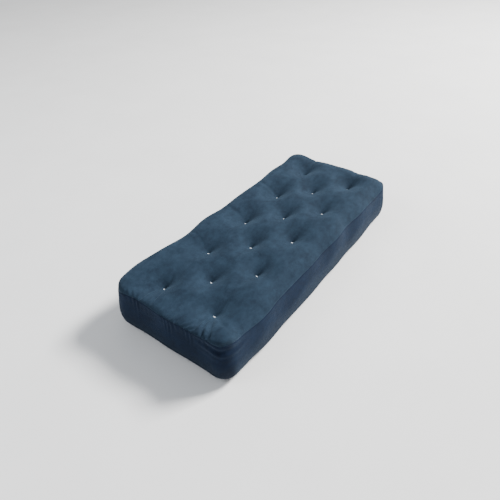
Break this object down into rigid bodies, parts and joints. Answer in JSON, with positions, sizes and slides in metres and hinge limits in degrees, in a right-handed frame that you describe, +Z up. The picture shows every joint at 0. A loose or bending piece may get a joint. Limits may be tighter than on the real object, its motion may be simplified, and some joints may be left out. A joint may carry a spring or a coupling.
{
  "type": "futon mattress",
  "caption": "Thick rectangular sleeping mattress with a boxed cloth cover, layered filling and staggered deep tufts tied with twine.",
  "frame": {"origin": "centre of the underside, on the plane the mattress lies on", "axes": "+X across the mattress, +Y along it towards the head end, +Z up"},
  "size_m": [0.775, 1.88, 0.3],
  "materials": {
    "cover_cloth": "brushed slate-blue twill",
    "cotton_batting": "unbleached felted cotton",
    "foam": "open-cell polyurethane foam",
    "tufting_twine": "waxed white twine",
    "seam_thread": "dark blue sewing thread"
  },
  "bodies": {
    "root": {"top_panel": "cover_cloth", "bottom_panel": "cover_cloth", "foot_border_strip": "cover_cloth", "head_border_strip": "cover_cloth", "upper_outer_batting": "cotton_batting", "upper_inner_batting": "cotton_batting", "centre_batting": "cotton_batting", "lower_inner_batting": "cotton_batting", "lower_outer_batting": "cotton_batting", "upper_foam_slab": "foam", "lower_foam_slab": "foam", "tuft_twine_01": "tufting_twine", "tuft_twine_02": "tufting_twine", "tuft_twine_03": "tufting_twine", "tuft_twine_04": "tufting_twine", "tuft_twine_05": "tufting_twine", "tuft_twine_06": "tufting_twine", "tuft_twine_07": "tufting_twine", "tuft_twine_08": "tufting_twine", "tuft_twine_09": "tufting_twine", "tuft_twine_10": "tufting_twine", "tuft_twine_11": "tufting_twine", "tuft_twine_12": "tufting_twine", "tuft_twine_13": "tufting_twine", "tuft_twine_14": "tufting_twine", "tuft_knot_01": "tufting_twine", "tuft_knot_02": "tufting_twine", "tuft_knot_03": "tufting_twine", "tuft_knot_04": "tufting_twine", "tuft_knot_05": "tufting_twine", "tuft_knot_06": "tufting_twine", "tuft_knot_07": "tufting_twine", "tuft_knot_08": "tufting_twine", "tuft_knot_09": "tufting_twine", "tuft_knot_10": "tufting_twine", "tuft_knot_11": "tufting_twine", "tuft_knot_12": "tufting_twine", "tuft_knot_13": "tufting_twine", "tuft_knot_14": "tufting_twine", "top_seam_thread": "seam_thread", "bottom_seam_thread": "seam_thread", "border_seam_thread": "seam_thread"}
  },
  "joints": []
}
